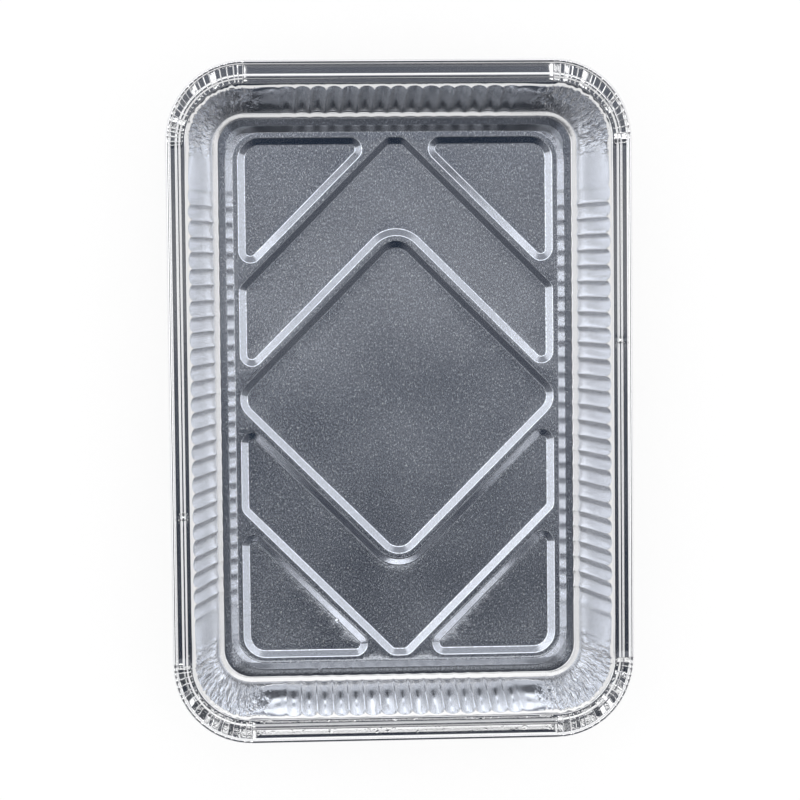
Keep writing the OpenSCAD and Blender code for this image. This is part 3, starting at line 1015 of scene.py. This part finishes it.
def mirrored_room(n, studio):
    """Colours of the room that the foil mirrors, by the direction that is mirrored.

    A dark card hangs overhead, and the front is dark. White boards stand at the sides and behind, and a white strip
    lies between card and front. In a direction, y is the way to the far end, across the way to a side from the card's
    middle, and out the way from overhead to the horizon.
    """
    part = n.parts(n.add("ShaderNodeTexCoord").outputs["Generated"])
    x, y = part["X"], part["Y"]
    across, out = n.away(x, 0.05), n.hypot(x, y)

    front = n.blend(n.ramp(out, 0.5, 0.75), FRONT_HIGH, FRONT_LOW)
    beside_front = n.blend(n.ramp(out, 0.55, 0.75), ASIDE_HIGH, ASIDE_LOW)
    front = n.blend(n.ramp(across, 0.22, 0.42), front, beside_front)
    card = n.blend(n.ramp(y, -0.2, 0.12, smooth=False), studio.card_colour, CARD_FAR)
    card = n.blend(n.ramp(n.away(y, 0.01), 0.01, 0.06, 1.0, 0.0), card, CARD_SHEEN)
    room = n.blend(n.ramp(y, -0.29, -0.24), front, card)

    strip = n.product(n.ramp(n.away(y, -0.212), 0.012, 0.02, 1.0, 0.0), n.ramp(across, 0.2, 0.26, 1.0, 0.0))
    beside = n.product(n.ramp(across, 0.28, 0.35), n.ramp(y, -0.26, -0.19))
    boards = n.math("MAXIMUM", n.math("MAXIMUM", beside, n.ramp(y, 0.27, 0.35)), strip)
    light = n.ramp(y, -0.2, -0.02, 0.72 * studio.board_light, studio.board_light)
    board = n.blend(n.ramp(out, 0.62, 0.74), light, BOARD_LOW)
    board = n.blend(n.ramp(y, 0.62, 0.72), board, BOARD_FAR)
    room = n.blend(boards, room, board)

    horizon = n.math("ADD", out, n.ramp(y, -0.5, -0.3, -0.045, 0.0))
    haze = n.math("MINIMUM", n.ramp(y, -0.85, -0.6, 0.8, 1.05), n.ramp(across, 0.5, 0.75, 1.05, 0.84))
    return n.blend(n.ramp(horizon, 0.85, 0.9), room, haze)


class FOILTRAY_OT_light(bpy.types.Operator):
    """Hangs the soft lamps in a white room, and the boards and dark card that the foil mirrors"""

    bl_idname = "foil_tray.light"
    bl_label = "Studio light"

    def execute(self, context):
        studio = context.scene.foil_tray_studio
        for name, place, size in LAMPS:
            lamp = bpy.data.lights.new(name, "AREA")
            lamp.shape = "SQUARE"
            lamp.size = size
            lamp.energy = studio.lamp_power
            holder = bpy.data.objects.new(name, lamp)
            turn = (-Vector(place)).to_track_quat("-Z", "Y").to_matrix().to_4x4()
            holder.matrix_world = Matrix.Translation(place) @ turn
            holder.visible_glossy = False
            context.scene.collection.objects.link(holder)
        world = bpy.data.worlds.new("soft_room")
        world.use_nodes = True
        context.scene.world = world
        n = Nodes(world.node_tree)
        plain = n.add("ShaderNodeBackground", Color=WHITE, Strength=1.0)
        mirrored = n.add("ShaderNodeBackground", Color=mirrored_room(n, studio), Strength=1.0)
        by_metal = sent_on(n, n.add("ShaderNodeLightPath").outputs)
        n.add("ShaderNodeOutputWorld", Surface=n.mix(by_metal, plain, mirrored))
        context.scene.view_settings.view_transform = "Standard"
        return {"FINISHED"}


class FOILTRAY_OT_camera(bpy.types.Operator):
    """Sets the camera where the photograph was taken from"""

    bl_idname = "foil_tray.camera"
    bl_label = "Camera"

    def execute(self, context):
        data = bpy.data.cameras.new("view_from_above")
        data.sensor_fit = "HORIZONTAL"
        data.sensor_width = SENSOR
        data.lens = SENSOR * FOCAL / IMAGE_WIDTH
        data.clip_start = 0.01
        data.clip_end = 50.0
        camera = bpy.data.objects.new("view_from_above", data)
        turn = Matrix.Identity(3)
        for degrees, axis in CAMERA_TURNS:
            turn = turn @ Matrix.Rotation(math.radians(degrees), 3, axis)
        camera.matrix_world = Matrix.Translation(CAMERA_PLACE) @ turn.to_4x4()
        context.scene.collection.objects.link(camera)
        context.scene.camera = camera
        return {"FINISHED"}


class FOILTRAY_PT_panel(bpy.types.Panel):
    """Lists the tray's sizes, its finish, its studio and its operators"""

    bl_idname = "FOILTRAY_PT_panel"
    bl_label = "Foil Tray"
    bl_space_type = "VIEW_3D"
    bl_region_type = "UI"
    bl_category = "Foil Tray"

    def draw(self, context):
        for group in GROUPS:
            settings = getattr(context.scene, group)
            box = self.layout.box()
            for name in settings.bl_rna.properties.keys():
                if name not in ("rna_type", "name"):
                    box.prop(settings, name)
        for operator in OPERATORS:
            self.layout.operator(operator.bl_idname)


GROUPS = {
    "foil_tray_shape": FoilTrayShape,
    "foil_tray_finish": FoilTrayFinish,
    "foil_tray_studio": FoilTrayStudio,
}
OPERATORS = (FOILTRAY_OT_camera, FOILTRAY_OT_stage, FOILTRAY_OT_light, FOILTRAY_OT_sheet)


def register():
    for known in (*GROUPS.values(), *OPERATORS, FOILTRAY_PT_panel):
        bpy.utils.register_class(known)
    for name, group in GROUPS.items():
        setattr(bpy.types.Scene, name, PointerProperty(type=group))


def unregister():
    for name in GROUPS:
        delattr(bpy.types.Scene, name)
    for known in (FOILTRAY_PT_panel, *reversed(OPERATORS), *reversed(GROUPS.values())):
        bpy.utils.unregister_class(known)


def main():
    register()
    bpy.ops.foil_tray.camera()
    bpy.ops.foil_tray.stage()
    bpy.ops.foil_tray.light()
    bpy.ops.foil_tray.sheet()


if __name__ == "__main__":
    main()
